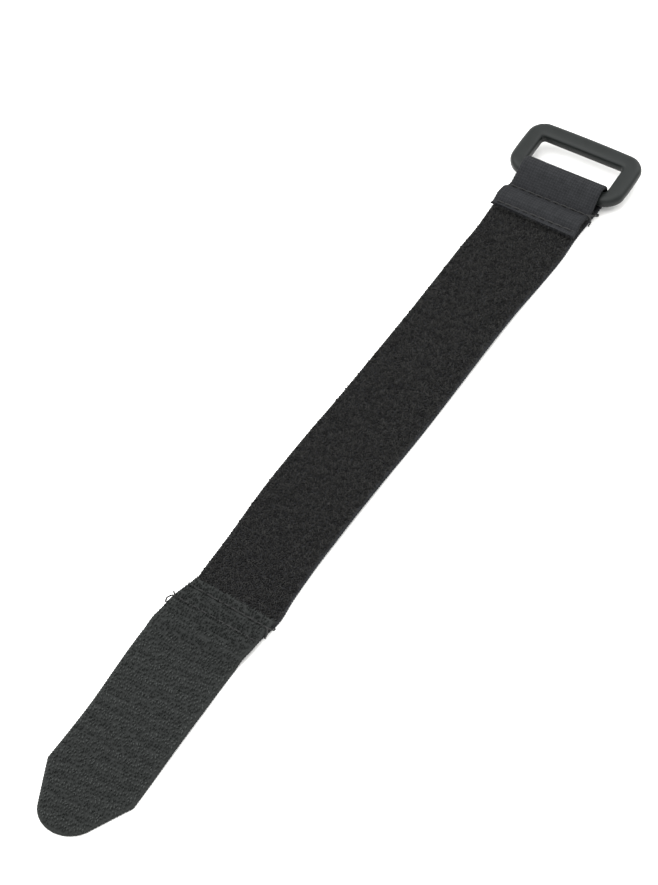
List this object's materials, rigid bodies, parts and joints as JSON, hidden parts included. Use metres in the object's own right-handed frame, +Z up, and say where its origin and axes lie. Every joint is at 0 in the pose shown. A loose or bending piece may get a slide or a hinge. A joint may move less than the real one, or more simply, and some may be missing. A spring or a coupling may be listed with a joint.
{
  "type": "hook-and-loop wrist strap",
  "caption": "Flat strap of soft loop tape with a sewn hook-tape tab, rounded at its tip, and a moulded rectangular ring held in a sewn fold at the other end.",
  "frame": {"origin": "on the surface the strap lies on, under the middle of its overall length and width", "axes": "+X along the strap towards the ring, +Y across it, +Z up out of the loop and hook face"},
  "size_m": [0.2757, 0.035, 0.0075],
  "materials": {
    "loop_tape": "knitted nylon loop pile on a woven ground, matte black",
    "hook_tape": "woven nylon tape with rows of cut hooks, dull black",
    "sewing_thread": "twisted black polyester thread, slight sheen",
    "ring_plastic": "moulded dark grey nylon, satin"
  },
  "bodies": {
    "sewn_end": {"fold_end": "loop_tape", "flap_stitching_1": "sewing_thread", "flap_stitching_2": "sewing_thread"},
    "ring": {"ring": "ring_plastic"},
    "band_1": {"band_link_1": "loop_tape"},
    "band_2": {"band_link_2": "loop_tape"},
    "band_3": {"band_link_3": "loop_tape"},
    "band_4": {"band_link_4": "loop_tape"},
    "band_5": {"band_link_5": "loop_tape"},
    "band_6": {"band_link_6": "loop_tape"},
    "band_7": {"band_link_7": "loop_tape"},
    "band_8": {"band_link_8": "loop_tape"},
    "band_9": {"band_link_9": "loop_tape"},
    "seam": {"band_end": "loop_tape", "tab_root": "hook_tape", "seam_stitching_1": "sewing_thread", "seam_stitching_2": "sewing_thread"},
    "tab_1": {"tab_link_1": "hook_tape"},
    "tab_2": {"tab_link_2": "hook_tape"},
    "tab_3": {"tab_link_3": "hook_tape"},
    "tab_nose": {"tab_tip": "hook_tape"}
  },
  "joints": [
    {"name": "ring_swing", "type": "hinge", "parent": "sewn_end", "child": "ring", "pos_m": [0.12095, 0, 0.00375], "axis": [0, -1, 0], "range_deg": [-12, 155]},
    {"name": "band_bend_1", "type": "hinge", "parent": "sewn_end", "child": "band_1", "pos_m": [0.098, 0, 0.0008], "axis": [0, 1, 0], "range_deg": [0, 20]},
    {"name": "band_bend_2", "type": "hinge", "parent": "band_1", "child": "band_2", "pos_m": [0.08156, 0, 0.0008], "axis": [0, 1, 0], "range_deg": [0, 20]},
    {"name": "band_bend_3", "type": "hinge", "parent": "band_2", "child": "band_3", "pos_m": [0.06511, 0, 0.0008], "axis": [0, 1, 0], "range_deg": [0, 20]},
    {"name": "band_bend_4", "type": "hinge", "parent": "band_3", "child": "band_4", "pos_m": [0.04867, 0, 0.0008], "axis": [0, 1, 0], "range_deg": [0, 20]},
    {"name": "band_bend_5", "type": "hinge", "parent": "band_4", "child": "band_5", "pos_m": [0.03222, 0, 0.0008], "axis": [0, 1, 0], "range_deg": [0, 20]},
    {"name": "band_bend_6", "type": "hinge", "parent": "band_5", "child": "band_6", "pos_m": [0.01578, 0, 0.0008], "axis": [0, 1, 0], "range_deg": [0, 20]},
    {"name": "band_bend_7", "type": "hinge", "parent": "band_6", "child": "band_7", "pos_m": [-0.00067, 0, 0.0008], "axis": [0, 1, 0], "range_deg": [0, 20]},
    {"name": "band_bend_8", "type": "hinge", "parent": "band_7", "child": "band_8", "pos_m": [-0.01711, 0, 0.0008], "axis": [0, 1, 0], "range_deg": [0, 20]},
    {"name": "band_bend_9", "type": "hinge", "parent": "band_8", "child": "band_9", "pos_m": [-0.03356, 0, 0.0008], "axis": [0, 1, 0], "range_deg": [0, 20]},
    {"name": "band_bend_10", "type": "hinge", "parent": "band_9", "child": "seam", "pos_m": [-0.05, 0, 0.0008], "axis": [0, 1, 0], "range_deg": [0, 20]},
    {"name": "tab_bend_1", "type": "hinge", "parent": "seam", "child": "tab_1", "pos_m": [-0.074, 0, 0.0008], "axis": [0, 1, 0], "range_deg": [0, 20]},
    {"name": "tab_bend_2", "type": "hinge", "parent": "tab_1", "child": "tab_2", "pos_m": [-0.089, 0, 0.0008], "axis": [0, 1, 0], "range_deg": [0, 20]},
    {"name": "tab_bend_3", "type": "hinge", "parent": "tab_2", "child": "tab_3", "pos_m": [-0.104, 0, 0.0008], "axis": [0, 1, 0], "range_deg": [0, 20]},
    {"name": "tab_bend_4", "type": "hinge", "parent": "tab_3", "child": "tab_nose", "pos_m": [-0.119, 0, 0.0008], "axis": [0, 1, 0], "range_deg": [0, 20]}
  ],
  "couplings": [
    {"joint": "band_bend_2", "follows": "band_bend_1", "ratio": 1},
    {"joint": "band_bend_3", "follows": "band_bend_1", "ratio": 1},
    {"joint": "band_bend_4", "follows": "band_bend_1", "ratio": 1},
    {"joint": "band_bend_5", "follows": "band_bend_1", "ratio": 1},
    {"joint": "band_bend_6", "follows": "band_bend_1", "ratio": 1},
    {"joint": "band_bend_7", "follows": "band_bend_1", "ratio": 1},
    {"joint": "band_bend_8", "follows": "band_bend_1", "ratio": 1},
    {"joint": "band_bend_9", "follows": "band_bend_1", "ratio": 1},
    {"joint": "band_bend_10", "follows": "band_bend_1", "ratio": 1},
    {"joint": "tab_bend_2", "follows": "tab_bend_1", "ratio": 1},
    {"joint": "tab_bend_3", "follows": "tab_bend_1", "ratio": 1},
    {"joint": "tab_bend_4", "follows": "tab_bend_1", "ratio": 1}
  ]
}
